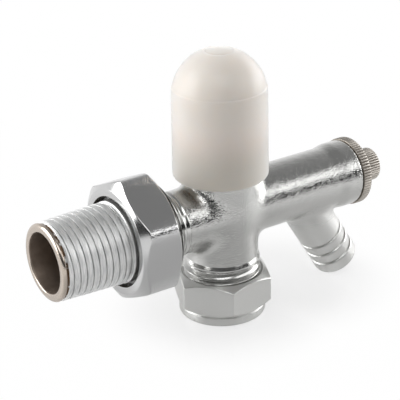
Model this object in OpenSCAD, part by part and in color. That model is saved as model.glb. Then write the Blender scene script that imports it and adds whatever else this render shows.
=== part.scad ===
// Angled lockshield radiator valve with a drain-off, for 15 mm pipe.
// The pipe enters from below along Z, the radiator tail leaves along -X
// and the drain tube with its hose tail leaves along +X.
// The origin is on the pipe's axis, in the bottom face of the compression nut.

/* [Pipe end] */
// Outside diameter of the copper pipe
pipe_d = 15; // [14:0.1:15.6]
// Width across the flats of the compression nut
comp_af = 24; // [23.6:0.1:27]
// Height of the compression nut
comp_h = 12; // [11.4:0.1:13]
// Height of the turned collar under its hexagon
comp_collar_h = 2.7; // [2:0.1:3.4]
// Diameter of that collar
comp_collar_d = 23.6; // [22:0.1:24]
// Angle by which the nut is turned about the pipe
comp_turn = 8; // [-30:1:30]
// Length of the brass olive
olive_l = 6.4; // [6:0.1:7]
// Wall of the olive
olive_wall = 1.5; // [1.2:0.1:1.6]
// Height at which the body's male thread ends
male_top = 15.1; // [14.6:0.1:16]
// How far the pipe goes in, measured from the nut's bottom face
pipe_depth = 19; // [17:0.1:19.6]

/* [Body] */
// Height of the union and drain axis over the nut's bottom face
axis_h = 29.3; // [28.8:0.1:32]
// Diameter of the upright barrel
barrel_d = 19.8; // [19.4:0.1:20.4]
// Height of the barrel's top over the union axis
barrel_top = 11.7; // [11.4:0.1:14]
// Bore of the waterway under the seat
water_d = 10; // [8:0.1:11]
// Bore of the valve chamber
chamber_d = 14.8; // [14.6:0.1:15.2]
// Height of the valve seat under the union axis
seat_drop = 7.3; // [7.2:0.1:7.6]
// Diameter of the union branch
branch_d = 17.3; // [16.8:0.1:18.4]
// Bore of the union branch
branch_bore = 11.6; // [10:0.1:12]

/* [Union] */
// Distance from the pipe's axis to the end of the threaded tail
tail_reach = 53.5; // [50:0.1:60]
// Bore of the tail's open end
tail_bore = 15.75; // [14:0.05:16]
// Width across the flats of the hexagon socket inside the tail
tail_key = 12; // [11.8:0.1:12.6]
// Depth of the tail's open end, before the hexagon socket
tail_mouth = 12; // [8:0.1:13]
// Width across the flats of the union nut
union_af = 30; // [29.4:0.1:33]
// Length of the union nut
union_l = 11.5; // [11:0.1:12.5]
// Distance from the pipe's axis to the union nut's rear face
union_rear = 21.7; // [21.4:0.1:24]
// Wall of the nut's front, which pulls on the tail's flange
union_web = 2.5; // [2:0.1:3]
// Thickness of the tail's flange
flange_t = 2.2; // [1.8:0.1:2.4]
// Angle by which the union nut is turned about its axis
union_turn = 4.5; // [-30:0.5:30]
// Bore in the front of the union nut
union_hole = 22.8; // [22.3:0.1:23.4]

/* [Drain] */
// Diameter of the drain tube
drain_d = 17.2; // [16.8:0.1:18]
// Diameter of the tube's thicker end
drain_end_d = 18.4; // [18:0.1:19]
// Distance from the pipe's axis to the end of the drain tube
drain_reach = 41.7; // [41:0.1:46]
// Bore of the drain chamber
drain_bore = 12.6; // [12:0.1:12.8]
// Bore of the drain's seat
drain_seat_d = 6.4; // [6:0.1:7]
// Distance from the pipe's axis to the drain's seat
drain_seat_x = 15.5; // [15:0.1:16]
// Diameter of the knurled ring on the drain gland
ring_d = 19; // [18.6:0.1:20]
// Thickness of that ring
ring_t = 2.4; // [2:0.1:3]
// Diameter of the drain spindle's knurled knob
knob_d = 9.3; // [9:0.1:12]
// Length of the knob
knob_l = 6.9; // [5:0.1:9]
// Thickness of the fibre washer behind the ring
gland_seal_t = 0.4; // [0.3:0.05:0.8]
// Ridges of the knurl on the ring
ring_ridges = 72; // [48:4:84]
// Ridges of the knurl on the knob
knob_ridges = 40; // [28:4:48]
// Depth of the knurls
knurl_depth = 0.28; // [0.15:0.01:0.35]

/* [Hose tail] */
// Place along the drain axis where the hose tail's axis leaves it
hose_x = 23.5; // [22.5:0.1:25]
// Angle of the hose tail from upright
hose_angle = 32; // [24:1:34]
// Length of the hose tail, from the drain axis
hose_l = 30.6; // [29:0.1:31]
// Diameter of its plain root
hose_d = 12.7; // [12:0.1:13]
// Bore of the hose tail
hose_bore = 8.4; // [7:0.1:9]
// Number of barbs
barb_n = 3; // [2:1:3]
// Distance from barb to barb
barb_pitch = 3.65; // [3.4:0.05:3.7]
// Depth of the notch behind a barb
barb_depth = 0.6; // [0.4:0.05:0.9]

/* [Headwork] */
// Width across the flats of the bonnet
bonnet_af = 17; // [16.6:0.1:17.4]
// Height of the bonnet's hexagon
bonnet_hex_h = 5.5; // [4.5:0.1:6]
// Diameter of the bonnet's thread
bonnet_thread_d = 16.24; // [16:0.02:16.6]
// Diameter of the bonnet's neck
bonnet_neck_d = 13; // [12.6:0.1:13.6]
// Height of the bonnet's neck
bonnet_neck_h = 3.8; // [3.6:0.1:4.6]
// Thickness of the bonnet's seal
bonnet_seal_t = 0.8; // [0.6:0.1:1.2]
// Width across the flats of the gland nut
gland_af = 13; // [12.6:0.1:13.4]
// Height of the gland nut's hexagon
gland_h = 3.5; // [3:0.1:4.5]
// Diameter of the spindle in its gland
spindle_d = 7; // [6.6:0.1:7.2]
// Diameter of the spindle's thread
spindle_thread_d = 9.7; // [9.4:0.1:9.9]
// Pitch of the spindle's thread
spindle_pitch = 1; // [0.8:0.05:1.1]
// Height of the spindle's top over the gland nut
spindle_proud = 7; // [5:0.1:9]
// Width of the square on the spindle's top
spindle_square = 5.4; // [5:0.1:5.6]
// Thickness of the plug's rubber washer
washer_t = 2.5; // [2:0.1:2.8]

/* [Cap] */
// Diameter of the cap at its open end
cap_d = 25.4; // [25:0.1:27]
// Diameter of the cap where its dome begins
cap_top_d = 25; // [24.6:0.1:26.4]
// Height of the cap
cap_h = 34.6; // [33:0.1:38]
// Wall of the cap
cap_wall = 1.8; // [1.4:0.1:2]
// How far the cap's open end reaches down over the barrel
cap_overlap = 1.2; // [0.6:0.1:2]
// Ribs inside the cap that grip the bonnet's corners
rib_t = 1.2; // [0.8:0.1:1.6]

/* [Fits] */
// Gap between flat faces that meet
seat_gap = 0.05; // [0.02:0.01:0.1]
// Radial gap of threads and turning fits
run_gap = 0.08; // [0.05:0.01:0.1]
// Radial gap between the pipe and what it enters
pipe_gap = 0.1; // [0.06:0.01:0.2]
// Gap around a piece that stays clear of its neighbour
free_gap = 0.3; // [0.2:0.05:0.5]

/* [Hidden] */
$fn = 72;
// British Standard pipe threads for a half inch and three quarters, 14 turns to the inch
bsp_half_d = 20.955;
bsp_34_d = 26.441;
bsp_pitch = 1.814;
bsp_depth = 0.64 * bsp_pitch;
// A tapered pipe thread widens by one part in sixteen, and has its nominal size at the gauge length
taper = 1 / 32;
gauge_l = 8.2;
fine_pitch = 1.25;

// Pipe end
socket_r = pipe_d / 2 + pipe_gap;
olive_r = socket_r + 0.02 + olive_wall;
olive_tip = 0.3;
cone = tan(30);
comp_web = comp_collar_h - 0.1;
olive_z = comp_web + free_gap;
olive_gap = 0.15;
mouth_r = bsp_half_d / 2 - bsp_depth - 0.32;
olive_top = olive_z + olive_l;
olive_top_r = socket_r + olive_tip + olive_gap;
body_z = olive_top - (mouth_r - olive_top_r) / cone;
comp_thread_r = bsp_half_d / 2 + run_gap;

// Body
body_top = axis_h + barrel_top;
seat_z = axis_h - seat_drop;
seat_lip = 1;
seat_w = 1.4;
bonnet_bore_r = bonnet_thread_d / 2 + run_gap;
bonnet_bore_h = 5.4;

// Union
nut_front = union_rear + union_l;
nut_web_in = nut_front - union_web;
flange_out = nut_web_in - seat_gap;
flange_in = flange_out - flange_t;
boss_end = flange_in - free_gap;
boss_root = union_rear - 1.4;
union_thread_r = bsp_34_d / 2;
nose_r = 6.6;
nose_l = 2.6;
o_ring_s = 0.83;
o_ring_r = nose_r + 0.02 + o_ring_s;
nose_seat_r = o_ring_r + o_ring_s + 0.07;
tail_core = branch_bore / 2;
tail_key_l = 8;
tail_thread_end = nut_front - 0.6;
tail_neck_r = union_hole / 2 - 0.5;

// Drain
gland_thread_r = 6.85;
gland_l = 7;
gland_seat_x = drain_reach + gland_seal_t;
ring_face = gland_seat_x + ring_t;
knob_x = ring_face + free_gap;
drain_shank_r = 3.4;
drain_thread_r = 3.95;
drain_pack_r = 4.6;
drain_pack_l = 2.3;
drain_washer_t = 2.2;
drain_washer_r = drain_seat_d / 2 + 1.8;
drain_disc_t = 2;
drain_disc_x = drain_seat_x + seat_gap + drain_washer_t;
drain_spindle_x = drain_disc_x + drain_disc_t + 2.4;
drain_pin_r = 1.6;
drain_pin_in = 5.6;
drain_pin_play = 0.4;
drain_collar_r = 2.6;
drain_stud_r = 1.2;
drain_nut_af = 4.4;
drain_nut_h = 1.2;
drain_stud_proud = 0.1;
gland_in_x = gland_seat_x - gland_l;
drain_floor = drain_seat_x - 1.7;

// Headwork
bonnet_z = body_top + bonnet_seal_t;
bonnet_hex_top = bonnet_z + bonnet_hex_h;
bonnet_top = bonnet_hex_top + bonnet_neck_h;
bonnet_low = body_top - bonnet_bore_h + 0.6;
gland_bore_r = 5.45;
packing_z = bonnet_hex_top - 1.6;
gland_washer_t = 0.7;
packing_t = 2.2;
spindle_low = axis_h - 2;
spindle_thread_l = 6.4;
spindle_thread_z = bonnet_low - 2.6;
spindle_rise = 4.4;
spindle_stop = spindle_thread_z + spindle_thread_l + spindle_rise;
spindle_foot_r = 4;
gland_top = bonnet_top + seat_gap + gland_h;
spindle_top = gland_top + spindle_proud;
plug_disc_t = 2.2;
plug_disc_z = seat_z + seat_gap + washer_t + seat_gap;
plug_r = chamber_d / 2 - 1;
plug_edge = 0.5;
plug_nut_af = 5.5;
plug_nut_h = 1.6;
stem_r = 1.93;
stem_in = 6.7;
stem_play = 0.5;
stud_r = 1.5;
stud_proud = 0.3;
washer_play = 0.05;
bonnet_seal_w = 1.18;

// Cap
cap_z = body_top - cap_overlap;
dome_r = cap_top_d / 2;
rib_n = 6;
rib_in = bonnet_af / 2 / cos(30) + 0.06;

// Points of a ringed thread along an axis, crest radius r at its start, widening by t for each mm
function ring_points(r, z0, n, pitch, depth, t) = [
    for (i = [0 : n - 1])
        for (q = [[0.08, 1], [0.42, 0], [0.58, 0], [0.92, 1]])
            let (z = (i + q[0]) * pitch)
                [r + t * z - depth * q[1], z0 + z]];

// How many whole turns fit on a length
function turns(l, pitch) = floor(l / pitch);

// A solid of revolution about Z from points [radius, height]
module turned(points) {
    rotate_extrude() polygon(points);
}

// Puts what is drawn along Z onto the union and drain axis, pointing along +X
module along_x() {
    translate([0, 0, axis_h]) rotate([0, 90, 0]) children();
}

// Puts what is drawn along Z onto the hose tail's axis
module along_hose() {
    translate([hose_x, 0, axis_h]) rotate([0, 180 - hose_angle, 0]) children();
}

// A hexagon bar from z0 to z1, its ends chamfered down to the circle that touches its flats
module hexagon(af, z0, z1, low = true, high = true) {
    corner = af / 2 / cos(30);
    cut = (corner - af / 2) * 0.5;
    intersection() {
        translate([0, 0, z0]) cylinder(r = corner, h = z1 - z0, $fn = 6);
        turned([[0, z0], [low ? af / 2 : corner + 1, z0], [corner + (low ? 0.02 : 1), z0 + cut],
            [corner + (high ? 0.02 : 1), z1 - cut], [high ? af / 2 : corner + 1, z1], [0, z1]]);
    }
}

// A bar with a straight knurl, its two edges eased by e
module knurled(r, z0, z1, ridges, e) {
    intersection() {
        translate([0, 0, z0]) linear_extrude(z1 - z0)
            polygon([for (i = [0 : 2 * ridges - 1])
                let (a = 180 * i / ridges, q = i % 2 == 0 ? r : r - knurl_depth)
                    [q * cos(a), q * sin(a)]]);
        turned([[0, z0], [r - e, z0], [r + 0.05, z0 + e], [r + 0.05, z1 - e], [r - e, z1], [0, z1]]);
    }
}

// A flat ring
module ring(r_in, r_out, z0, z1) {
    turned([[r_in, z0], [r_out, z0], [r_out, z1], [r_in, z1]]);
}

// Outside of the upright part: male pipe thread, run-out, barrel and its turned top
module stack_outside() {
    n = turns(male_top - body_z, bsp_pitch);
    r = bsp_half_d / 2;
    shoulder = 10.35;
    turned(concat([[0, body_z]],
        [[r - bsp_depth, body_z]],
        ring_points(r, male_top - n * bsp_pitch, n, bsp_pitch, bsp_depth, 0),
        [[r - bsp_depth, male_top], [shoulder - 0.5, male_top + 0.1], [shoulder, male_top + 0.5],
            [shoulder - 0.1, male_top + 0.9], [barrel_d / 2, male_top + 1.7],
            [barrel_d / 2, body_top - 0.5], [barrel_d / 2 - 0.5, body_top], [0, body_top]]));
}

// Outside of the level part: union boss with its thread, neck, forged run and thicker drain end
module run_outside() {
    n = turns(boss_end - boss_root, bsp_pitch);
    b = branch_d / 2;
    d = drain_d / 2;
    e = drain_end_d / 2;
    along_x() turned(concat([[0, -boss_end]],
        [[union_thread_r - bsp_depth, -boss_end]],
        ring_points(union_thread_r, -boss_end, n, bsp_pitch, bsp_depth, 0),
        [[union_thread_r - bsp_depth, -boss_end + n * bsp_pitch], [union_thread_r - 0.3, -boss_root],
            [b + 1.1, 0.3 - boss_root], [b + 0.3, 1 - boss_root], [b - 0.2, 2 - boss_root],
            [b - 0.2, 4.9 - boss_root], [b, 5.1 - boss_root], [b, 0], [d, 0],
            [d, drain_reach - 8.2], [d + 0.15, drain_reach - 6.6], [e - 0.1, drain_reach - 4.4],
            [e, drain_reach - 3.6], [e, drain_reach - 0.4], [e - 0.4, drain_reach], [0, drain_reach]]));
}

// Outside of the hose tail: plain root, then barbs whose steps face the body
module hose_outside() {
    r = hose_d / 2;
    nose = 4.2;
    land = 0.9;
    first = hose_l - nose - (barb_n - 1) * barb_pitch;
    along_hose() turned(concat([[0, 5], [r, 5], [r, first - 0.5], [r - barb_depth, first]],
        [for (i = [0 : barb_n - 1])
            let (z = first + i * barb_pitch, last = i == barb_n - 1)
                for (q = [[r + 0.1, z + 0.15], [r + 0.1, z + land],
                        [last ? r - 0.5 : r - barb_depth, last ? hose_l - 1.4 : z + barb_pitch]])
                    q],
        [[r - 1.4, hose_l - 0.3], [r - 1.9, hose_l], [0, hose_l]]));
}

// Inside of the upright part: olive mouth, pipe socket, waterway, raised seat, chamber, bonnet thread
module stack_inside() {
    turned([[0, body_z - 1], [mouth_r + cone, body_z - 1], [socket_r, body_z + (mouth_r - socket_r) / cone],
        [socket_r, pipe_depth], [water_d / 2, pipe_depth], [water_d / 2, seat_z],
        [water_d / 2 + seat_w, seat_z], [water_d / 2 + seat_w + 0.3, seat_z - seat_lip],
        [chamber_d / 2, seat_z - seat_lip], [chamber_d / 2, body_top - bonnet_bore_h],
        [bonnet_bore_r, body_top - bonnet_bore_h], [bonnet_bore_r, body_top + 1], [0, body_top + 1]]);
}

// Inside of the level part: union mouth, branch bore, drain seat, drain chamber and gland thread
module run_inside() {
    seat_x = boss_end - nose_l - 0.3;
    along_x() {
        turned([[0, -boss_end - 1], [nose_seat_r, -boss_end - 1], [nose_seat_r, -seat_x],
            [branch_bore / 2, -seat_x], [branch_bore / 2, 0], [0, 0]]);
        turned([[0, 0.5], [drain_seat_d / 2, 0.5], [drain_seat_d / 2, drain_seat_x],
            [drain_seat_d / 2 + 1, drain_seat_x], [drain_seat_d / 2 + 1.3, drain_floor],
            [drain_bore / 2, drain_floor], [drain_bore / 2, gland_in_x - 0.4],
            [gland_thread_r + run_gap, gland_in_x - 0.4], [gland_thread_r + run_gap, drain_reach + 1],
            [0, drain_reach + 1]]);
    }
}

// The one-piece forging
module valve_body() {
    color("silver") difference() {
        union() {
            stack_outside();
            run_outside();
            hose_outside();
        }
        stack_inside();
        run_inside();
        along_hose() translate([0, 0, 1]) cylinder(d = hose_bore, h = hose_l);
    }
}

// Headwork that closes the chamber and carries the spindle
module bonnet() {
    color("goldenrod") difference() {
        union() {
            turned([[0, bonnet_low], [bonnet_thread_d / 2 - 0.6, bonnet_low],
                [bonnet_thread_d / 2, bonnet_low + 0.6], [bonnet_thread_d / 2, bonnet_z + 0.5],
                [0, bonnet_z + 0.5]]);
            hexagon(bonnet_af, bonnet_z, bonnet_hex_top, low = false);
            turned([[0, bonnet_hex_top - 1], [bonnet_neck_d / 2, bonnet_hex_top - 1],
                [bonnet_neck_d / 2, bonnet_top - 0.4], [bonnet_neck_d / 2 - 0.4, bonnet_top],
                [0, bonnet_top]]);
        }
        turned([[0, bonnet_low - 1], [spindle_thread_d / 2 + run_gap, bonnet_low - 1],
            [spindle_thread_d / 2 + run_gap, spindle_stop], [spindle_d / 2 + run_gap, spindle_stop],
            [spindle_d / 2 + run_gap, packing_z], [gland_bore_r, packing_z],
            [gland_bore_r, bonnet_top + 1], [0, bonnet_top + 1]]);
    }
}

// Flat seal between the forging and the bonnet's hexagon
module bonnet_seal() {
    r = bonnet_thread_d / 2 + run_gap;
    color("dimgray") ring(r, r + bonnet_seal_w, body_top + seat_gap / 2, bonnet_z - seat_gap / 2);
}

// Brass washer under the gland packing
module gland_washer() {
    color("goldenrod") ring(spindle_d / 2 + run_gap, gland_bore_r - run_gap,
        packing_z + seat_gap, packing_z + gland_washer_t);
}

// Packing pressed round the spindle
module gland_packing() {
    z = packing_z + gland_washer_t + seat_gap;
    color("white") ring(spindle_d / 2 + run_gap, gland_bore_r - run_gap, z, z + packing_t);
}

// Nut that presses the packing down
module gland_nut() {
    low = packing_z + gland_washer_t + packing_t + 2 * seat_gap;
    color("goldenrod") difference() {
        union() {
            translate([0, 0, low]) cylinder(r = gland_bore_r - run_gap, h = bonnet_top - low + 1);
            hexagon(gland_af, bonnet_top + seat_gap, gland_top);
        }
        translate([0, 0, low - 1]) cylinder(r = spindle_d / 2 + run_gap, h = gland_top - low + 2);
    }
}

// Rising spindle, turned with a key on its square
module regulating_spindle() {
    n = turns(spindle_thread_l, spindle_pitch);
    r = spindle_thread_d / 2;
    depth = 0.6 * spindle_pitch;
    color("darkgoldenrod") difference() {
        union() {
            turned(concat([[0, spindle_low], [spindle_foot_r - 0.4, spindle_low],
                [spindle_foot_r, spindle_low + 0.4], [spindle_foot_r, spindle_thread_z]],
                ring_points(r, spindle_thread_z, n, spindle_pitch, depth, 0),
                [[r - depth, spindle_thread_z + n * spindle_pitch],
                    [spindle_d / 2, spindle_thread_z + spindle_thread_l],
                    [spindle_d / 2, gland_top + 0.5], [0, gland_top + 0.5]]));
            intersection() {
                turned([[0, gland_top], [spindle_d / 2, gland_top], [spindle_d / 2, spindle_top - 0.8],
                    [spindle_d / 2 - 0.8, spindle_top], [0, spindle_top]]);
                translate([-spindle_square / 2, -spindle_square / 2, gland_top - 0.5])
                    cube([spindle_square, spindle_square, spindle_proud + 1]);
            }
        }
        translate([0, 0, spindle_low - 1])
            cylinder(r = stem_r + run_gap, h = stem_in + stem_play + 1);
    }
}

// Plug that the spindle lifts: disc, upper stem and lower stud
module valve_plug() {
    stud_end = seat_z - plug_nut_h - stud_proud;
    disc_top = plug_disc_z + plug_disc_t;
    stem_end = spindle_low + stem_in;
    color("goldenrod") turned([[0, stud_end], [stud_r, stud_end], [stud_r, plug_disc_z],
        [plug_r, plug_disc_z], [plug_r, disc_top - plug_edge], [plug_r - plug_edge, disc_top],
        [stem_r, disc_top], [stem_r, stem_end], [0, stem_end]]);
}

// Rubber washer that closes on the seat
module plug_washer() {
    low = seat_z + seat_gap;
    color("black") ring(stud_r + washer_play, water_d / 2 + seat_w, low, low + washer_t);
}

// Small nut that holds the washer on the plug
module plug_nut() {
    color("goldenrod") translate([0, 0, seat_z - plug_nut_h]) difference() {
        hexagon(plug_nut_af, 0, plug_nut_h);
        translate([0, 0, -1]) cylinder(r = stud_r + washer_play, h = plug_nut_h + 2);
    }
}

// White cap that locks the setting away: a domed shell with ribs that grip the bonnet's corners
module lockshield_cap() {
    r = cap_d / 2;
    top = cap_z + cap_h;
    shoulder = top - dome_r;
    w = cap_wall;
    color("whitesmoke") union() {
        difference() {
            union() {
                turned([[0, cap_z], [r - 0.7, cap_z], [r - 0.2, cap_z + 0.2], [r, cap_z + 0.7],
                    [dome_r, shoulder], [0, shoulder]]);
                translate([0, 0, shoulder]) sphere(r = dome_r);
            }
            turned([[0, cap_z - 1], [r - w, cap_z - 1], [r - w, cap_z], [dome_r - w, shoulder],
                [0, shoulder]]);
            translate([0, 0, shoulder]) sphere(r = dome_r - w);
        }
        for (i = [0 : rib_n - 1]) rotate(360 / rib_n * i) cap_rib();
    }
}

// One rib of the cap: its foot grips a corner, its ledge sits on the hexagon's top
module cap_rib() {
    foot = bonnet_z + 1;
    ledge = bonnet_hex_top + seat_gap;
    rib_top = gland_top - 1;
    out = cap_top_d / 2 - cap_wall + 0.4;
    lead = 0.8;
    shelf = bonnet_af / 2 - 0.7;
    rotate([90, 0, 0]) translate([0, 0, -rib_t / 2]) linear_extrude(rib_t)
        polygon([[rib_in + lead, foot], [out, foot], [out, rib_top], [shelf + lead, rib_top],
            [shelf, rib_top - lead], [shelf, ledge], [rib_in, ledge], [rib_in, foot + lead]]);
}

// Nut that draws the tail onto the body
module union_nut() {
    color("gray") along_x() rotate(union_turn) difference() {
        hexagon(union_af, -nut_front, -union_rear);
        turned([[0, -nut_front - 1], [union_hole / 2 + 0.4, -nut_front - 1],
            [union_hole / 2 + 0.4, -nut_front], [union_hole / 2, -nut_front + 0.4],
            [union_hole / 2, -nut_web_in], [union_thread_r + run_gap, -nut_web_in],
            [union_thread_r + run_gap, -union_rear - 0.6], [union_thread_r + 0.7, -union_rear],
            [union_thread_r + 0.7, 1 - union_rear], [0, 1 - union_rear]]);
    }
}

// Threaded tail that screws into the radiator, with its flange and nose inside the union nut
module tail_piece() {
    start = -tail_reach + 1.5;
    n = turns(tail_reach - 1.5 - tail_thread_end, bsp_pitch);
    r = bsp_half_d / 2 - (gauge_l - 1.5) * taper;
    end_z = start + n * bsp_pitch;
    lip = r - 0.75;
    color("lightgray") along_x() difference() {
        turned(concat([[0, -tail_reach], [lip, -tail_reach], [r - 0.25, start - 0.9], [r, start - 0.45],
            [r - 0.1, start]],
            ring_points(r, start, n, bsp_pitch, bsp_depth, taper),
            [[tail_neck_r - bsp_depth, end_z], [tail_neck_r, end_z + 0.5], [tail_neck_r, -flange_out],
                [union_thread_r - 0.9, -flange_out], [union_thread_r - 0.9, -flange_in],
                [nose_r, -flange_in], [nose_r, -flange_in + nose_l - 0.5],
                [nose_r - 0.4, -flange_in + nose_l], [0, -flange_in + nose_l]]));
        turned([[0, -tail_reach - 1], [tail_bore / 2 + 0.25, -tail_reach - 1],
            [tail_bore / 2 + 0.25, -tail_reach], [tail_bore / 2, -tail_reach + 0.3],
            [tail_bore / 2, -tail_reach + tail_mouth], [tail_core, -tail_reach + tail_mouth + 1],
            [tail_core, 0], [0, 0]]);
        translate([0, 0, -tail_reach + tail_mouth - 0.5])
            cylinder(r = tail_key / 2 / cos(30), h = tail_key_l + 0.5, $fn = 6);
    }
}

// O-ring on the tail's nose
module union_o_ring() {
    color("black") along_x() translate([0, 0, nose_l / 2 - flange_in])
        rotate_extrude() translate([o_ring_r, 0]) circle(r = o_ring_s, $fn = 24);
}

// Nut that squeezes the olive onto the pipe
module compression_nut() {
    low_r = socket_r + 0.05;
    cone_end = comp_web + (olive_r + free_gap - socket_r - olive_tip) / cone + free_gap;
    color("lightslategray") rotate(comp_turn) difference() {
        union() {
            turned([[0, 0], [comp_collar_d / 2 - 0.5, 0], [comp_collar_d / 2 - 0.15, 0.15],
                [comp_collar_d / 2, 0.5], [comp_collar_d / 2, comp_collar_h - 0.35],
                [comp_collar_d / 2 - 0.3, comp_collar_h - 0.2], [comp_collar_d / 2 - 0.3, comp_collar_h + 0.5],
                [0, comp_collar_h + 0.5]]);
            hexagon(comp_af, comp_collar_h, comp_h);
        }
        turned([[0, -1], [low_r, -1], [low_r, comp_web],
            [socket_r + olive_tip + olive_gap - free_gap * cone, comp_web],
            [olive_r + olive_gap + free_gap, cone_end], [comp_thread_r, cone_end],
            [comp_thread_r, comp_h - 0.7], [comp_thread_r + 0.6, comp_h], [comp_thread_r + 0.6, comp_h + 1],
            [0, comp_h + 1]]);
    }
}

// Brass ring that is squeezed between the nut's cone and the body's mouth
module olive() {
    r = socket_r + 0.02;
    slope = (olive_wall - olive_tip) / cone;
    color("gold") turned([[r, olive_z], [r + olive_tip, olive_z], [olive_r, olive_z + slope],
        [olive_r, olive_top - slope], [r + olive_tip, olive_top], [r, olive_top]]);
}

// Knurled ring with the threaded shank that closes the drain tube
module drain_gland() {
    color("darkgray") along_x() difference() {
        union() {
            turned([[0, gland_in_x], [gland_thread_r - 0.5, gland_in_x], [gland_thread_r, gland_in_x + 0.5],
                [gland_thread_r, gland_seat_x + 0.5], [0, gland_seat_x + 0.5]]);
            knurled(ring_d / 2, gland_seat_x, ring_face, ring_ridges, 0.45);
        }
        turned([[0, gland_in_x - 1], [drain_pack_r, gland_in_x - 1],
            [drain_pack_r, gland_in_x + drain_pack_l + 0.2],
            [drain_thread_r + run_gap, gland_in_x + drain_pack_l + 0.2],
            [drain_thread_r + run_gap, ring_face - 0.4], [drain_thread_r + 0.5, ring_face],
            [drain_thread_r + 0.5, ring_face + 1], [0, ring_face + 1]]);
    }
}

// Fibre washer between the ring and the tube's end
module drain_gland_seal() {
    color("black") along_x() ring(gland_thread_r + 0.15, drain_end_d / 2 - 0.35,
        drain_reach + seat_gap / 2, gland_seat_x - seat_gap / 2);
}

// Packing round the drain spindle, inside the gland
module drain_packing() {
    color("white") along_x() ring(drain_shank_r + run_gap, drain_pack_r - run_gap,
        gland_in_x + 0.1, gland_in_x + drain_pack_l);
}

// Drain spindle: knurled knob, thread in the gland and the shank that carries the plug
module drain_spindle() {
    thread_x = gland_in_x + drain_pack_l + 0.6;
    n = turns(knob_x - thread_x - 0.4, fine_pitch);
    depth = 0.5;
    color("darkgray") along_x() difference() {
        union() {
            turned(concat([[0, drain_spindle_x], [drain_shank_r - 0.4, drain_spindle_x],
                [drain_shank_r, drain_spindle_x + 0.4], [drain_shank_r, thread_x]],
                ring_points(drain_thread_r, thread_x, n, fine_pitch, depth, 0),
                [[drain_thread_r - depth, thread_x + n * fine_pitch],
                    [drain_thread_r - depth, knob_x + 0.5], [0, knob_x + 0.5]]));
            knurled(knob_d / 2, knob_x, knob_x + knob_l, knob_ridges, 0.5);
        }
        translate([0, 0, drain_spindle_x - 1])
            cylinder(r = drain_pin_r + run_gap, h = drain_pin_in + drain_pin_play + 1);
    }
}

// Plug that the drain spindle presses on its seat
module drain_plug() {
    stud_end = drain_seat_x - drain_nut_h - drain_stud_proud;
    face = drain_disc_x + seat_gap;
    back = drain_disc_x + drain_disc_t;
    collar_end = drain_spindle_x - free_gap;
    pin_end = drain_spindle_x + drain_pin_in;
    r = drain_bore / 2 - 1;
    color("goldenrod") along_x() turned([[0, stud_end], [drain_stud_r, stud_end],
        [drain_stud_r, face], [r, face], [r, back - 0.4], [r - 0.4, back], [drain_collar_r, back],
        [drain_collar_r, collar_end], [drain_pin_r, collar_end], [drain_pin_r, pin_end], [0, pin_end]]);
}

// Rubber washer that closes on the drain's seat
module drain_washer() {
    color("black") along_x()
        ring(drain_stud_r + washer_play, drain_washer_r, drain_seat_x + seat_gap, drain_disc_x);
}

// Small nut that holds that washer
module drain_nut() {
    color("goldenrod") along_x() translate([0, 0, drain_seat_x - drain_nut_h]) difference() {
        hexagon(drain_nut_af, 0, drain_nut_h);
        translate([0, 0, -1]) cylinder(r = drain_stud_r + washer_play, h = drain_nut_h + 2);
    }
}

valve_body();
bonnet();
bonnet_seal();
gland_nut();
gland_washer();
gland_packing();
regulating_spindle();
valve_plug();
plug_washer();
plug_nut();
lockshield_cap();
union_nut();
tail_piece();
union_o_ring();
compression_nut();
olive();
drain_gland();
drain_gland_seal();
drain_packing();
drain_spindle();
drain_plug();
drain_washer();
drain_nut();
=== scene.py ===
import math

import bmesh
import bpy
import numpy as np
from mathutils import Matrix, Vector, noise


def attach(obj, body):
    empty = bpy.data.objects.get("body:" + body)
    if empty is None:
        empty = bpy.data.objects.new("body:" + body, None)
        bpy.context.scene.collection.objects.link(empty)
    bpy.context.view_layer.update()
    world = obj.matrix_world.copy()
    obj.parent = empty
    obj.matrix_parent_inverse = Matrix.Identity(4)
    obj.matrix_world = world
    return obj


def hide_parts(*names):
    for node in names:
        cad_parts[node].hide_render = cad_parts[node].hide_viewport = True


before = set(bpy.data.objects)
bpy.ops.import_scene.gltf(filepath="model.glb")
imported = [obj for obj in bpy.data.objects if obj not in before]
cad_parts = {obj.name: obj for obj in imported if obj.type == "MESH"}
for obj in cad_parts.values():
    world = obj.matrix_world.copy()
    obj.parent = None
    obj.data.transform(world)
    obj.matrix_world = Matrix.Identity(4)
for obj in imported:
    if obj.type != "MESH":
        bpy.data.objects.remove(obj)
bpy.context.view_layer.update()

# Studio: a white laminate table in a bright room, seen from above and to the left of the tail.
# Soft boxes stand at both sides, over the camera and behind to the left; the wall behind the valve
# is white, the room is dim near the table, and the table is painted greyer on the photographer's side, a painted
# shadow that shows only in the chrome.
MM = 0.001


def linear(colour):
    """An sRGB hex colour as linear RGBA."""
    parts = [int(colour[i:i + 2], 16) / 255 for i in (0, 2, 4)]
    return [p / 12.92 if p <= 0.04045 else ((p + 0.055) / 1.055) ** 2.4 for p in parts] + [1.0]


def add(tree, kind, sockets=None, **settings):
    """A node with its settings; sockets gives each input a number, a colour or the output that feeds it."""
    made = tree.nodes.new("ShaderNode" + kind)
    for name, value in settings.items():
        setattr(made, name, value)
    for name, value in (sockets or {}).items():
        if isinstance(value, bpy.types.NodeSocket):
            tree.links.new(value, made.inputs[name])
        else:
            made.inputs[name].default_value = value
    return made


def direction(azimuth, elevation):
    """Unit vector to a place in the room: azimuth 0 is -Y, and +X lies at 90 degrees."""
    a, e = math.radians(azimuth), math.radians(elevation)
    return Vector((math.sin(a) * math.cos(e), -math.cos(a) * math.cos(e), math.sin(e)))


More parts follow.
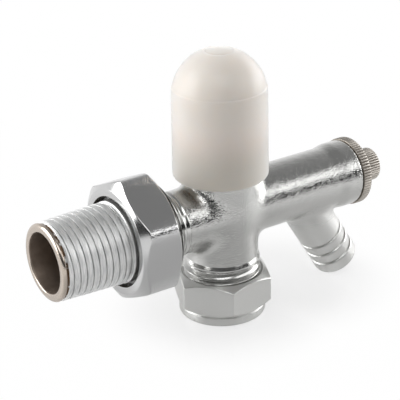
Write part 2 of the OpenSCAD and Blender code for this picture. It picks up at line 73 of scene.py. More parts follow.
# The lens stands 383 mm from the valve, 25 degrees up
view_azimuth, view_elevation, view_roll = -33.93, 24.97, -1.03
aim = Vector((-4.74, 0, 32.36)) * MM
lens_distance = 382.66 * MM
back = direction(view_azimuth, view_elevation)
level = (-back).cross(Vector((0, 0, 1))).normalized()
upright = level.cross(-back)
roll = math.radians(view_roll)
right = level * math.cos(roll) + upright * math.sin(roll)
up = upright * math.cos(roll) - level * math.sin(roll)
camera = bpy.data.objects.new("camera", bpy.data.cameras.new("camera"))
camera.matrix_world = Matrix.Translation(aim + back * lens_distance) @ Matrix(
    (right, up, back)).transposed().to_4x4()
camera.data.sensor_width = 36
camera.data.lens = 1451.2 / 400 * 36
camera.data.shift_x = -6.15 / 400
camera.data.shift_y = 3.12 / 400
camera.data.clip_start = 0.01
bpy.context.collection.objects.link(camera)
scene = bpy.context.scene
scene.camera = camera
scene.view_settings.view_transform = "Standard"

# The table is laminate round the valve, and runs out into plain white further off
table_top = bpy.data.meshes.new("table_top")
side = 3.0
table_top.from_pydata([(-side, -side, 0), (side, -side, 0), (side, side, 0), (-side, side, 0)],
                      [], [(0, 1, 2, 3)])
table = bpy.data.objects.new("table_top", table_top)
bpy.context.collection.objects.link(table)
# The valve stands on its compression nut, also where that is drawn down with the olive
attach(table, "olive_ring")
laminate = bpy.data.materials.new("white_laminate")
laminate.use_nodes = True
tree = laminate.node_tree
tree.nodes.clear()
spot = add(tree, "TexCoord").outputs["Object"]
away = add(tree, "VectorMath", {0: spot}, operation="LENGTH")
outward = add(tree, "VectorMath", {0: spot}, operation="NORMALIZE")
in_front = add(tree, "VectorMath", {0: outward.outputs[0], 1: direction(view_azimuth + 14, 0)},
               operation="DOT_PRODUCT")
# Painted shadow: for all but camera rays the table's colour is greyer in front of the valve, standing in for the
# shade of the camera's stand, which the chrome reflects
facing_it = add(tree, "MapRange", {"Value": in_front.outputs["Value"], "From Min": 0.12,
                                   "From Max": 0.72},
                interpolation_type="SMOOTHSTEP")
clear_of_foot = add(tree, "MapRange", {"Value": away.outputs["Value"], "From Min": 0.024,
                                       "From Max": 0.045}, interpolation_type="SMOOTHSTEP")
shade = add(tree, "Math", {0: facing_it.outputs["Result"], 1: clear_of_foot.outputs["Result"]},
            operation="MULTIPLY")
path = add(tree, "LightPath")
# Painted shadow: grey c8c8c8 in front of the valve, off-white fafafa elsewhere
painted_stand_shadow = add(tree, "Mix", {"Factor": shade.outputs[0], "A": linear("fafafa"),
                           "B": linear("c8c8c8")}, data_type="RGBA")
top = add(tree, "Mix", {"Factor": path.outputs["Is Camera Ray"], "A": painted_stand_shadow.outputs["Result"],
                        "B": linear("fafafa")}, data_type="RGBA")
top_coat = add(tree, "BsdfPrincipled", {"Base Color": top.outputs["Result"], "Roughness": 0.24,
                                        "Specular IOR Level": 0.5})
# The lens sees the table burnt out to white, but for the shade round the foot and the hose tail's
hose_shade = add(tree, "VectorMath", {0: spot, 1: (0.0217, 0.0035, 0)}, operation="DISTANCE")
to_shade = add(tree, "Math", {0: away.outputs["Value"], 1: hose_shade.outputs["Value"]},
               operation="MINIMUM")
burnt = add(tree, "MapRange", {"Value": to_shade.outputs[0], "From Min": 0.012,
                               "From Max": 0.036, "To Min": 0.61, "To Max": 0.99},
            interpolation_type="SMOOTHSTEP")
near = add(tree, "Math", {0: path.outputs["Is Camera Ray"], 1: burnt.outputs["Result"]},
           operation="MULTIPLY")
far = add(tree, "MapRange", {"Value": away.outputs["Value"], "From Min": 0.05, "From Max": 0.16,
                            "To Min": near.outputs[0]}, interpolation_type="SMOOTHSTEP")
seen = add(tree, "Math", {0: path.outputs["Is Camera Ray"], 1: path.outputs["Is Glossy Ray"]},
           operation="MAXIMUM")
seen = add(tree, "Math", {0: seen.outputs[0], 1: path.outputs["Is Transmission Ray"]},
           operation="MAXIMUM")
share = add(tree, "Math", {0: far.outputs["Result"], 1: seen.outputs[0]}, operation="MULTIPLY")
white = add(tree, "Emission", {"Color": linear("ffffff"), "Strength": 1.0})
surface = add(tree, "MixShader", {0: share.outputs[0], 1: top_coat.outputs[0], 2: white.outputs[0]})
add(tree, "OutputMaterial", {"Surface": surface.outputs[0]})
table_top.materials.append(laminate)

# The room: a pale grey ceiling, dim walls near the table, and a white wall behind the valve
room = bpy.data.worlds.new("room")
scene.world = room
room.use_nodes = True
tree = room.node_tree
tree.nodes.clear()
place = add(tree, "TexCoord").outputs["Generated"]
height = add(tree, "SeparateXYZ", {"Vector": place}).outputs["Z"]
behind = direction(view_azimuth + 180, 0)
facing = add(tree, "VectorMath", {0: place, 1: behind}, operation="DOT_PRODUCT").outputs["Value"]
low = add(tree, "MapRange", {"Value": height, "From Min": 0.81, "From Max": 0.14})
near_wall = add(tree, "MapRange", {"Value": facing, "From Min": 0.05, "From Max": 0.40},
                interpolation_type="SMOOTHSTEP")
wall = add(tree, "Math", {0: low.outputs["Result"], 1: near_wall.outputs["Result"]},
           operation="MULTIPLY")
rise = add(tree, "MapRange", {"Value": height, "From Min": 0.16, "From Max": 0.60},
           interpolation_type="SMOOTHSTEP")
dim = add(tree, "Mix", {"Factor": rise.outputs["Result"], "A": linear("222222"),
                        "B": linear("909090")}, data_type="RGBA")
tone = add(tree, "Mix", {"Factor": wall.outputs[0], "A": dim.outputs["Result"],
                         "B": linear("ffffff")}, data_type="RGBA")
glow = add(tree, "Background", {"Color": tone.outputs["Result"], "Strength": 1.0})
add(tree, "OutputWorld", {"Surface": glow.outputs[0]})


def soft_box(name, azimuth, elevation, width, tall, brightness, distance=0.9):
    """A soft box that looks at the valve; brightness is its radiance, where lit white paper has about 1."""
    lamp = bpy.data.lights.new(name, "AREA")
    lamp.shape = "RECTANGLE"
    lamp.size, lamp.size_y = width, tall
    lamp.energy = brightness * width * tall * math.pi
    holder = bpy.data.objects.new(name, lamp)
    to_box = direction(azimuth, elevation)
    holder.location = aim + to_box * distance
    holder.rotation_euler = to_box.to_track_quat("Z", "Y").to_euler()
    bpy.context.collection.objects.link(holder)


soft_box("soft_box_right", 33, 29, 0.70, 0.33, 1.55)
soft_box("soft_box_strip", 68, 11, 0.42, 0.42, 3.4)
soft_box("soft_box_rim", 96, 14, 0.56, 0.50, 2.6)
soft_box("soft_box_left", -120, 18, 0.74, 0.86, 3.8)
soft_box("soft_box_front", -30, 54, 0.60, 0.42, 2.1)

# Forged body: one hot brass stamping, whose barrel, union branch, drain tube and hose tail flow
# into each other through cast fillets. The chrome keeps the pebbled grain of the blasted forging.
axis_z = 29.3
barrel_r, barrel_low, barrel_top = 9.9, 16.2, 41.0
branch_r, branch_end = 8.65, 15.5
tube_r, tube_end, tube_end_r = 8.6, 41.7, 9.2
hose_x, hose_tilt, hose_r, hose_root = 23.5, math.radians(32), 6.35, 18.7
fillet, hose_fillet = 2.6, 1.6


def soft_min(a, b, reach):
    """The lower of two fields, with the valley between them filled as a fillet."""
    h = np.maximum(reach - np.abs(a - b), 0) / reach
    return np.minimum(a, b) - h * h * reach / 4


def forging(p):
    """Distance field of the forging in mm, negative inside the metal."""
    x, y, high = p[..., 0], p[..., 1], p[..., 2]
    z = high - axis_z
    about_z = np.hypot(x, y)
    about_x = np.hypot(y, z)
    along_hose = (x - hose_x) * math.sin(hose_tilt) - z * math.cos(hose_tilt)
    across_hose = (x - hose_x) * math.cos(hose_tilt) + z * math.sin(hose_tilt)
    about_hose = np.hypot(across_hose, y)
    barrel = -soft_min(-(about_z - barrel_r), -(high - barrel_top), 0.5)
    barrel = np.maximum(barrel, barrel_low - high)
    swell = np.clip((x - 33.6) / 4.2, 0, 1)
    radius = np.where(x > 0, tube_r + (tube_end_r - tube_r) * swell * swell * (3 - 2 * swell), branch_r)
    run = -soft_min(-(about_x - radius), -(x - tube_end), 0.5)
    run = np.maximum(run, -branch_end - x)
    hose = np.maximum(about_hose - hose_r, np.maximum(along_hose - hose_root, -along_hose))
    metal = soft_min(soft_min(barrel, run, fillet), hose, hose_fillet)
    hollow = np.minimum.reduce([
        np.maximum(about_z - 7.6, high - 19),
        np.maximum(about_z - 5, high - 23),
        np.maximum(about_z - 7.4, 22 - high),
        np.maximum(about_z - 8.2, 35.6 - high),
        np.maximum(about_x - 5.8, x),
        np.maximum(about_x - 3.2, -x),
        np.maximum(about_x - 6.3, 13.8 - x),
        np.maximum(about_x - 6.93, 34.3 - x),
        np.maximum(about_hose - 4.2, -along_hose)])
    return np.maximum(metal, -hollow)


def slope(field, p, step=0.01):
    """Gradient of the field at points p."""
    shifts = np.eye(3) * step
    return np.stack([(field(p + s) - field(p - s)) / (2 * step) for s in shifts], -1)


def surface_net(field, low, high, cell):
    """Quads on the zero level of a field inside the box low..high: one corner in each crossed cell."""
    steps = [np.arange(a, b + cell, cell) for a, b in zip(low, high)]
    grid = np.stack(np.meshgrid(*steps, indexing="ij"), -1)
    solid = field(grid) < 0
    n = np.array(solid.shape) - 1
    corners = [solid[i:n[0] + i, j:n[1] + j, k:n[2] + k]
               for i in (0, 1) for j in (0, 1) for k in (0, 1)]
    filled = sum(c.astype(np.int8) for c in corners)
    crossed = (filled > 0) & (filled < 8)
    number = np.full(crossed.shape, -1)
    number[crossed] = np.arange(crossed.sum())
    points = grid[:-1, :-1, :-1][crossed] + cell / 2
    faces = []
    for a in range(3):
        b, c = (a + 1) % 3, (a + 2) % 3
        first, second = [slice(None)] * 3, [slice(None)] * 3
        first[a], second[a] = slice(0, -1), slice(1, None)
        at = np.argwhere(solid[tuple(first)] != solid[tuple(second)])
        at = at[(at[:, b] > 0) & (at[:, c] > 0) & (at[:, b] < n[b]) & (at[:, c] < n[c])]
        out = solid[tuple(first)][tuple(at.T)]
        ring = []
        for db, dc in ((0, 0), (1, 0), (1, 1), (0, 1)):
            q = at.copy()
            q[:, b] -= db
            q[:, c] -= dc
            ring.append(number[tuple(q.T)])
        quad = np.stack(ring, -1)
        quad[~out] = quad[~out][:, ::-1]
        faces.append(quad)
    for _ in range(6):
        g = slope(field, points)
        g /= np.maximum((g * g).sum(-1, keepdims=True), 0.2)
        points = points - np.clip(field(points)[:, None] * g, -cell / 2, cell / 2)
    return points, np.concatenate(faces)


def make_piece(name, points, faces, materials, body, sharp=35, bands=None):
    """An object from points in mm, smooth but for edges over the angle sharp, riding on a body."""
    mesh = bpy.data.meshes.new(name)
    mesh.from_pydata((np.asarray(points) * MM).tolist(), [], np.asarray(faces).tolist())
    for m in materials:
        mesh.materials.append(m)
    if bands is not None:
        mesh.polygons.foreach_set("material_index", np.asarray(bands, np.int32))
    work = bmesh.new()
    work.from_mesh(mesh)
    bmesh.ops.remove_doubles(work, verts=work.verts, dist=2e-7)
    bmesh.ops.dissolve_degenerate(work, edges=work.edges, dist=1e-8)
    bmesh.ops.recalc_face_normals(work, faces=work.faces)
    work.to_mesh(mesh)
    work.free()
    mesh.shade_smooth()
    mesh.set_sharp_from_angle(angle=math.radians(sharp))
    piece = bpy.data.objects.new(name, mesh)
    bpy.context.collection.objects.link(piece)
    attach(piece, body)
    return piece


def new_metal(name, colour, roughness, coats):
    """A metal whose coats(tree, coords) gives the outputs that feed the shader's sockets."""
    metal = bpy.data.materials.new(name)
    metal.use_nodes = True
    made = metal.node_tree
    made.nodes.clear()
    coords = add(made, "TexCoord").outputs["Object"]
    sockets = {"Base Color": linear(colour), "Metallic": 1.0, "Roughness": roughness}
    sockets.update(coats(made, coords))
    skin = add(made, "BsdfPrincipled", sockets)
    add(made, "OutputMaterial", {"Surface": skin.outputs[0]})
    return metal


def pebbled(made, coords):
    """The chrome only half levels a blasted skin: its grains, drawn 0.4 mm wide to show, glint singly."""
    grain = add(made, "TexNoise", {"Vector": coords, "Scale": 1 / (0.30 * MM), "Detail": 0.0})
    fine = add(made, "Bump", {"Height": grain.outputs[0], "Strength": 1.0, "Distance": 0.073 * MM})
    parts = add(made, "SeparateXYZ", {"Vector": coords})
    below = add(made, "MapRange", {"Value": parts.outputs["Z"], "From Min": 23 * MM,
                                   "From Max": 18 * MM}, interpolation_type="SMOOTHSTEP")
    outer = add(made, "MapRange", {"Value": parts.outputs["X"], "From Min": 18 * MM,
                                   "From Max": 24 * MM}, interpolation_type="SMOOTHSTEP")
    hose = add(made, "Math", {0: below.outputs["Result"], 1: outer.outputs["Result"]},
               operation="MULTIPLY")
    gloss = add(made, "MapRange", {"Value": hose.outputs[0], "To Min": 0.06, "To Max": 0.30})
    tone = add(made, "Mix", {"Factor": hose.outputs[0], "A": linear("c5c5c3"), "B": linear("cfcfcd")},
               data_type="RGBA")
    return {"Base Color": tone.outputs["Result"], "Normal": fine.outputs[0],
            "Roughness": gloss.outputs["Result"]}


forged_chrome = new_metal("chrome_on_forged_skin", "c4c4c2", 0.1, pebbled)

cell = 0.34
points, faces = surface_net(forging, (-16.2, -10.7, 8.6), (42.5, 10.7, 41.8), cell)
wave = np.array([noise.noise(Vector(p / 1.7)) + 0.5 * noise.noise(Vector(p / 0.8)) for p in points])
points = points + slope(forging, points) * (wave * 0.027 - 0.018)[:, None]
forged_body = make_piece("forged_body", points, faces, [forged_chrome], "valve", sharp=60)
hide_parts("valve_body")

# Turned ends of the body: pipe thread below, union boss with its grooved neck, and the hose barbs.
# They are machined after forging, so their chrome is smooth with fine tool rings.
def turned_rings(axis_column, pitch, depth, dull=0.21):
    """Coats for a lathe finish: rings of tool marks round one axis, here wider than real to show."""
    def coats(made, coords):
        parts = add(made, "SeparateXYZ", {"Vector": coords})
        along = add(made, "CombineXYZ", {"X": parts.outputs[axis_column]})
        rings = add(made, "TexNoise", {"Vector": along.outputs[0], "Scale": 1 / (pitch * MM),
                                       "Detail": 1.0})
        peel = add(made, "TexNoise", {"Vector": coords, "Scale": 1 / (0.7 * MM), "Detail": 2.0})
        both = add(made, "Math", {0: rings.outputs[0], 1: peel.outputs[0]}, operation="ADD")
        bump = add(made, "Bump", {"Height": both.outputs[0], "Strength": 1.0, "Distance": depth * MM})
        gloss = add(made, "MapRange", {"Value": peel.outputs[0], "From Min": 0.3, "From Max": 0.7,
                                       "To Min": dull - 0.05, "To Max": dull + 0.05})
        return {"Normal": bump.outputs[0], "Roughness": gloss.outputs[0]}
    return coats


def eased(corners, reach=0.2, steps=3):
    """A closed profile whose corners are rounded off over the length reach."""
    c = np.asarray(corners, float)
    profile = []
    for before, at, after in zip(np.roll(c, 1, 0), c, np.roll(c, -1, 0)):
        a, b = before - at, after - at
        la, lb = np.hypot(*a), np.hypot(*b)
        start = at + a / la * min(reach, 0.45 * la)
        end = at + b / lb * min(reach, 0.45 * lb)
        for t in np.linspace(0, 1, steps + 1):
            profile.append((1 - t) ** 2 * start + 2 * t * (1 - t) * at + t * t * end)
    return profile


def around(profile, angles):
    """Rows of points round Z from points (radius, height)."""
    return [np.stack([r * np.cos(angles), r * np.sin(angles), np.full(len(angles), z)], -1)
            for r, z in profile]


def thread_rows(crest, low, high, pitch, depth, angles, flat=0.16, crown=0.04, widen=0.0, phase=0.0,
                run=0.7):
    """Rows of a right-hand thread between two heights; it runs out to its root at both ends."""
    ease = [(0, 0), (0.12, 0.07), (0.3, 0.27), (0.5, 0.5), (0.7, 0.73), (0.88, 0.93), (1, 1)]
    half = [(0.04 + (0.46 - flat / 2) * s, h * (1 - crown)) for s, h in ease]
    half.append((0.5 - flat / 4, 1 - crown / 4))
    shape = [(0, 0)] + half + [(0.5, 1)] + [(1 - u, h) for u, h in reversed(half)]
    rows = []
    first = math.floor((low - phase) / pitch) - 1
    for i in range(first, math.ceil((high - phase) / pitch) + 1):
        for u, h in shape:
            z = np.clip(phase + (i + u) * pitch + pitch * angles / (2 * math.pi), low, high)
            root = crest - depth + widen * (z - low)
            ends = np.minimum(z - low, high - z) * run
            r = root + np.minimum(h * depth, ends)
            rows.append(np.stack([r * np.cos(angles), r * np.sin(angles), z], -1))
    return rows


def sheath(name, rows, materials, body, tilt=0.0, spot=(0, 0, 0), bands=None, sharp=35):
    """A piece from closed rows of points: each row joins the next and the last joins the first."""
    rows = np.stack(list(rows) + [rows[0]])
    count = rows.shape[1]
    grid = np.arange(rows.shape[0] * count).reshape(rows.shape[:2])
    quads = np.stack([grid[:-1, :-1], grid[:-1, 1:], grid[1:, 1:], grid[1:, :-1]], -1)
    p = rows.reshape(-1, 3)
    c, s = math.cos(math.radians(tilt)), math.sin(math.radians(tilt))
    p = np.stack([p[:, 0] * c + p[:, 2] * s, p[:, 1], p[:, 2] * c - p[:, 0] * s], -1) + np.array(spot)
    if bands is not None:
        bands = np.repeat(np.asarray(bands), count - 1)
    return make_piece(name, p, quads.reshape(-1, 4), materials, body, sharp, bands)


turn = np.linspace(0, 2 * math.pi, 97)
pipe_pitch, pipe_depth = 1.814, 1.161
turned_upright = new_metal("turned_chrome_upright", "c6c6c4", 0.2, turned_rings("Z", 0.35, 0.012))
turned_level = new_metal("turned_chrome_level", "c6c6c4", 0.2, turned_rings("X", 0.35, 0.008, 0.11))

# Pipe thread: half inch, running out under the shoulder that the barrel stands on
mouth = [(7.58, 17.0), (7.58, 10.1), (9.0, 7.66), (9.3, 7.66)]
shoulder = eased([(9.32, 15.1), (9.85, 15.2), (10.35, 15.6), (10.25, 16.0), (9.9, 16.8), (9.8, 17.0)], 0.15)
rows = around(mouth, turn) + thread_rows(10.478, 7.68, 15.1, pipe_pitch, pipe_depth, turn,
                                         phase=7.84) + around(shoulder, turn)
pipe_thread = sheath("pipe_thread", rows, [turned_upright], "valve")
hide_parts("valve_body")

# Union boss: three-quarter inch thread, then a turned neck with two grooves behind the nut
boss_in = [(5.78, -15.0), (5.78, -25.25), (8.35, -25.25), (8.35, -28.15), (12.0, -28.15)]
neck = eased([(12.1, -20.9), (12.9, -20.3), (12.6, -20.05), (10.6, -20.0), (9.75, -19.75), (9.15, -19.3),
              (8.8, -18.7), (8.65, -18.0), (8.5, -17.8), (8.55, -17.6), (8.95, -17.3), (9.0, -16.9),
              (8.75, -16.55), (8.4, -16.4), (8.45, -15.9), (8.72, -15.5), (8.55, -15.0)], 0.22)
rows = around(boss_in, turn) + thread_rows(13.22, -28.13, -20.9, pipe_pitch, pipe_depth, turn,
                                           phase=-28.15) + around(neck, turn)
union_boss = sheath("union_boss", rows, [turned_level], "valve", 90, (0, 0, axis_z))
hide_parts("valve_body")

# Hose barbs: three steps that face the body, and a rounded nose
barbs = [(4.18, 18.2), (6.3, 18.3), (6.35, 18.7), (5.85, 19.1), (6.4, 19.3), (6.45, 20.0), (6.15, 22.5),
         (5.85, 22.75), (6.4, 22.95), (6.45, 23.65), (6.15, 26.15), (5.85, 26.4), (6.4, 26.6),
         (6.45, 27.3), (6.4, 29.9), (6.0, 30.55), (4.5, 30.6), (4.18, 30.3)]
barb_end = sheath("hose_barbs", around(eased(barbs, 0.3), turn), [forged_chrome], "valve",
                  148, (hose_x, 0, axis_z))
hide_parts("valve_body")

# Compression nut: hot stamped and turned brass, satin chrome, with a chamfered hexagon on a
# round collar. It draws the brass olive onto the pipe.
def hex_turn(turned_by):
    """Angles round a hexagon, close together at its corners."""
    half = math.pi / 6 * np.sin(np.linspace(-math.pi / 2, math.pi / 2, 25)[:-1])
    start = math.radians(turned_by)
    angles = np.concatenate([start + math.pi / 6 + math.pi / 3 * i + half for i in range(6)])
    return np.append(angles, angles[0] + 2 * math.pi)


def hex_radius(across, angles, turned_by, corner=180):
    """Radius of a hexagon with slightly rounded corners."""
    flats = math.radians(turned_by) + math.pi / 6 + math.pi / 3 * np.arange(6)
    near = np.maximum(np.cos(angles[:, None] - flats), 0) ** corner
    return across / 2 / near.sum(1) ** (1 / corner)


def nut_rows(across, low, high, low_r, high_r, angles, turned_by, lean=0.577, edge=0.12,
             corner=180):
    """Rows up a hexagon whose ends are chamfered from the radii low_r and high_r."""
    flat = hex_radius(across, angles, turned_by, corner)
    zone = (flat.max() - min(low_r, high_r)) * lean + 0.3
    heights = np.concatenate([np.linspace(low, low + zone, 17), np.linspace(high - zone, high, 17)])
    rows = []
    for z in heights:
        cone = min(low_r + (z - low) / lean, high_r + (high - z) / lean)
        r = soft_min(flat, np.full(len(angles), cone), edge)
        rows.append(np.stack([r * np.cos(angles), r * np.sin(angles), np.full(len(angles), z)], -1))
    return rows


satin_upright = new_metal("satin_chrome_upright", "d6d6d4", 0.34, turned_rings("Z", 0.5, 0.008, 0.34))
turned_by = 8
angles = hex_turn(turned_by)
below = eased([(7.65, 2.6), (7.65, 0.25), (7.9, 0), (11.3, 0), (11.65, 0.15), (11.8, 0.5),
               (11.8, 2.35), (11.5, 2.5), (11.5, 2.85), (11.6, 2.9)], 0.12)
thread_in = [(9.44, 5.2), (9.1, 5.0), (7.9, 2.62)]
rows = (around(below, angles) + nut_rows(24, 2.9, 12.0, 11.6, 11.3, angles, turned_by)
        + around([(11.16, 12.0), (10.62, 11.35)], angles)
        + thread_rows(10.6, 5.2, 11.35, pipe_pitch, 1.04, angles - angles[0], phase=7.84)[::-1]
        + around(thread_in, angles))
pipe_nut = sheath("pipe_nut", rows, [satin_upright], "pipe_nut")
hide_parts("compression_nut")

raw_brass = new_metal("turned_brass", "c8a25c", 0.28, turned_rings("Z", 0.3, 0.01))
olive_profile = eased([(7.62, 2.95), (7.92, 2.95), (9.1, 4.98), (9.1, 7.22), (7.92, 9.25), (7.62, 9.25)], 0.15)
olive = sheath("brass_olive", around(olive_profile, turn), [raw_brass], "olive_ring")
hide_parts("olive")

# Union nut: a chromed hexagon 30 mm across that turns on the tail's flange.
# Its flats are milled bar with a faint peel, and both ends have a turned 30 degree chamfer.
nut_turn = 4.5


def buffed(made, coords):
    """Buffing levels the flats, and leaves a fine pebble where their edges roll over."""
    parts = add(made, "SeparateXYZ", {"Vector": coords})
    drop = add(made, "Math", {0: axis_z * MM, 1: parts.outputs["Z"]}, operation="SUBTRACT")
    angle = add(made, "Math", {0: parts.outputs["Y"], 1: drop.outputs[0]}, operation="ARCTAN2")
    flats = add(made, "Math", {0: angle.outputs[0], 1: 3 / math.pi, 2: 6 - nut_turn / 60},
                operation="MULTIPLY_ADD")
    from_edge = add(made, "Math", {0: flats.outputs[0], 1: 0.5}, operation="PINGPONG")
    rolled = add(made, "MapRange", {"Value": from_edge.outputs[0], "From Min": 0.24, "From Max": 0.10,
                                    "To Min": 0.12}, interpolation_type="SMOOTHSTEP")
    between = add(made, "Math", {0: parts.outputs["X"], 1: -27.45 * MM, 2: 4.0 * MM},
                  operation="COMPARE")
    strength = add(made, "Math", {0: rolled.outputs["Result"], 1: between.outputs[0]},
                   operation="MULTIPLY")
    grain = add(made, "TexNoise", {"Vector": coords, "Scale": 1 / (0.31 * MM), "Detail": 0.0})
    fine = add(made, "Bump", {"Height": grain.outputs[0], "Strength": strength.outputs[0],
                              "Distance": 0.08 * MM})
    return {"Normal": fine.outputs[0]}


def painted_dark_thread(made, coords):
    """The nut's thread isn't plated; its brass is coloured near black brown in blotches, a painted shade for the
    inside of the nut.
    """
    blotches = add(made, "TexNoise", {"Vector": coords, "Scale": 1 / (1.5 * MM), "Detail": 3.0})
    shade = add(made, "Mix", {"Factor": blotches.outputs[0], "A": linear("1c1916"),
                              "B": linear("3a332b")}, data_type="RGBA")
    return {"Base Color": shade.outputs["Result"]}


milled_chrome = new_metal("buffed_chrome", "cacaca", 0.15, buffed)
shaded_nut_thread = new_metal("nut_thread_painted_dark", "2b2722", 0.5, painted_dark_thread)
angles = hex_turn(nut_turn)
front, rear = -33.2, -21.7
rows = (around([(13.3, -30.6), (11.8, -30.65), (11.8, -32.8), (12.1, front)], angles)
        + nut_rows(30, front, rear, 13.9, 14.2, angles, nut_turn, lean=0.66, corner=20)
        + around([(13.9, rear), (13.3, -22.3)], angles)
        + thread_rows(13.3, -30.5, -22.3, pipe_pitch, 1.04, angles - angles[0],
                      phase=-28.15 + pipe_pitch / 2)[::-1])
# Painted shade: the nut's inner rows take the near black thread material
bands = [1] * 3 + [0] * 36 + [1] * (len(rows) - 39)
union_nut = sheath("union_nut_hexagon", rows, [milled_chrome, shaded_nut_thread], "union_ring",
                   90, (0, 0, axis_z), bands)
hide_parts("union_nut")

# Threaded tail: nickel-plated brass with a broad-crested taper thread for the radiator, a rolled
# lip and a dark bore with a hexagon socket; its flange and nose seal inside the union nut.
def satin_nickel(made, coords):
    """Nickel over a cut thread: matt and streaked round the crests, warm on the open lip, and worn
    through to bronze in the groove behind it."""
    parts = add(made, "SeparateXYZ", {"Vector": coords})
    lip = add(made, "MapRange", {"Value": parts.outputs["X"], "From Min": -51.9 * MM,
                                 "From Max": -52.6 * MM}, interpolation_type="SMOOTHSTEP")
    cloud = add(made, "TexNoise", {"Vector": coords, "Scale": 1 / (1.6 * MM), "Detail": 3.0})
    streak_place = add(made, "VectorMath", {0: coords, 1: (5.0, 0.5, 0.5)}, operation="MULTIPLY")
    streak = add(made, "TexNoise", {"Vector": streak_place.outputs[0], "Scale": 1 / (1.4 * MM),
                                    "Detail": 2.0})
    shade = add(made, "MapRange", {"Value": streak.outputs[0], "From Min": 0.35, "From Max": 0.65})
    plate = add(made, "Mix", {"Factor": shade.outputs["Result"], "A": linear("e0e1e1"),
                              "B": linear("fcfcfb")}, data_type="RGBA")
    tint = add(made, "Mix", {"Factor": lip.outputs["Result"], "A": plate.outputs["Result"],
                             "B": linear("c4b9ae")}, data_type="RGBA")
    behind_lip = add(made, "Math", {0: parts.outputs["X"], 1: -52.15 * MM, 2: 0.42 * MM},
                     operation="COMPARE")
    worn = add(made, "MapRange", {"Value": cloud.outputs[0], "From Min": 0.30, "From Max": 0.46})
    bronze = add(made, "Math", {0: behind_lip.outputs[0], 1: worn.outputs["Result"]},
                 operation="MULTIPLY")
    tint = add(made, "Mix", {"Factor": bronze.outputs[0], "A": tint.outputs["Result"],
                             "B": linear("6a5644")}, data_type="RGBA")
    bump = add(made, "Bump", {"Height": streak.outputs[0], "Strength": 1.0, "Distance": 0.015 * MM})
    gloss = add(made, "MapRange", {"Value": lip.outputs["Result"], "To Min": 0.50, "To Max": 0.20})
    return {"Base Color": tint.outputs["Result"], "Roughness": gloss.outputs["Result"],
            "Normal": bump.outputs[0]}


def stained_bore(made, coords):
    """The bore takes hardly any plate: brown brass with drawn-out stains."""
    stain = add(made, "TexNoise", {"Vector": coords, "Scale": 1 / (2.2 * MM), "Detail": 4.0})
    shade = add(made, "Mix", {"Factor": stain.outputs[0], "A": linear("7e7167"),
                              "B": linear("a89b8f")}, data_type="RGBA")
    bump = add(made, "Bump", {"Height": stain.outputs[0], "Strength": 1.0, "Distance": 0.05 * MM})
    return {"Base Color": shade.outputs["Result"], "Normal": bump.outputs[0]}


nickel = new_metal("satin_nickel_plate", "cccccc", 0.35, satin_nickel)
bore_brass = new_metal("stained_brass_bore", "9c8f83", 0.55, stained_bore)
socket_angles = hex_turn(0)
key = hex_radius(12, socket_angles, 30, corner=400)


def hexagon_row(z, radius):
    """A row of the socket: its hexagon, cut back to a round bore."""
    r = np.minimum(key, radius) if radius else key
    return np.stack([r * np.cos(socket_angles), r * np.sin(socket_angles),
                     np.full(len(socket_angles), z)], -1)


bore = around([(5.8, -25.85), (5.8, -33.4)], socket_angles)
bore += [hexagon_row(-33.5, 0), hexagon_row(-41.0, 0)]
bore += around([(6.96, -41.4), (7.875, -41.9), (7.875, -47.0), (7.875, -52.9)], socket_angles)
lip = around(eased([(7.9, -53.15), (8.15, -53.5), (9.35, -53.5), (9.95, -53.2), (10.2, -52.75),
                    (10.1, -52.35), (9.75, -52.2), (9.5, -52.05)], 0.25)[3:-3], socket_angles)
thread = thread_rows(10.268, -52.0, -33.9, pipe_pitch, 0.62, socket_angles - socket_angles[0],
                     flat=0.78, crown=0.10, widen=1 / 32, phase=-52.0, run=0.9)
# The cutter tore the crests a little, so each row waves in and out by a few hundredths
for row in thread:
    tear = [0.05 * noise.noise(Vector((p[0] / 4, p[1] / 4, p[2] * 1.3))) for p in row]
    row[:, :2] *= 1 + np.array(tear)[:, None] / 10
neck = around(eased([(10.3, -33.85), (10.9, -33.5), (10.9, -33.0), (10.9, -30.65), (12.32, -30.65), (12.32, -28.45),
                     (6.6, -28.45), (6.6, -26.35), (6.2, -25.85)], 0.12)[2:], socket_angles)
rows = bore + lip + thread + neck
bands = [1] * (len(bore)) + [0] * (len(rows) - len(bore))
tail = sheath("threaded_tail", rows, [nickel, bore_brass], "tail", 90, (0, 0, axis_z),
              bands)
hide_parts("tail_piece")

